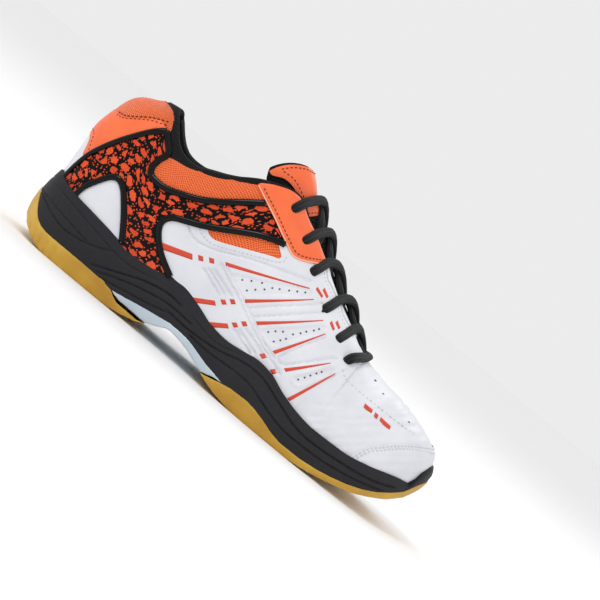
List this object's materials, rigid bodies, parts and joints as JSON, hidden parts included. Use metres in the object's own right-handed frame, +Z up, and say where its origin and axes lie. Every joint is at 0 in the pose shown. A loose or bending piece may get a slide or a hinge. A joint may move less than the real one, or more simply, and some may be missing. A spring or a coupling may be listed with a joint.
{
  "type": "court shoe",
  "caption": "Low lace-up indoor court shoe for the right foot: gum outsole, black foam midsole, white, orange and speckled upper panels, padded tongue on a hinge and a criss-cross lace.",
  "frame": {"origin": "middle of the footprint box, on the ground", "axes": "+X from heel to toe, -Y the outer (lateral) side, +Y the inner (medial) side, +Z up"},
  "size_m": [0.2896, 0.1054, 0.137],
  "materials": {
    "gum_rubber": "satin, translucent amber",
    "black_foam": "matt, finely pebbled",
    "silver_shank": "satin",
    "board_fibre": "matt",
    "black_lace": "woven",
    "stiffener": "matt",
    "padding_foam": "open foam",
    "orange_leather": "satin synthetic leather",
    "crackle_film": "orange stones on gloss black",
    "orange_mesh": "open knit mesh",
    "white_leather": "satin synthetic leather",
    "black_mesh": "knit mesh"
  },
  "bodies": {
    "shoe": {"midsole": "black_foam", "outsole_heel": "gum_rubber", "outsole_forefoot": "gum_rubber", "arch_shank": "silver_shank", "lasting_board": "board_fibre", "sock_liner": "black_mesh", "lace": "black_lace", "eyestay_lateral": "orange_leather", "collar_band_lateral": "black_mesh", "crackle_overlay_lateral": "crackle_film", "heel_window_lateral": "white_leather", "collar_mesh_lateral": "orange_mesh", "mesh_window_lateral": "orange_mesh", "quarter_lateral": "white_leather", "eyestay_medial": "orange_leather", "collar_band_medial": "black_mesh", "crackle_overlay_medial": "crackle_film", "heel_window_medial": "white_leather", "collar_mesh_medial": "orange_mesh", "mesh_window_medial": "orange_mesh", "quarter_medial": "white_leather", "heel_patch": "orange_leather", "heel_mesh": "orange_mesh", "heel_base_panel": "white_leather", "vamp": "white_leather", "toe_cap": "white_leather", "heel_counter": "stiffener", "collar_foam": "padding_foam", "toe_puff": "stiffener", "quarter_foam_lateral": "padding_foam", "eyestay_stay_lateral": "stiffener", "lining_lateral": "black_mesh", "quarter_foam_medial": "padding_foam", "eyestay_stay_medial": "stiffener", "lining_medial": "black_mesh", "heel_lining": "black_mesh", "vamp_lining": "black_mesh"},
    "tongue": {"tongue_cover": "black_mesh", "tongue_facing": "orange_leather", "tongue_foam": "padding_foam", "tongue_lining": "black_mesh"}
  },
  "joints": [
    {"name": "tongue_hinge", "type": "hinge", "parent": "shoe", "child": "tongue", "pos_m": [0.0672, 0, 0.066], "axis": [0, -1, 0], "range_deg": [0, 18], "stiffness_Nm_per_rad": 0.12, "springref_deg": -28.65}
  ]
}
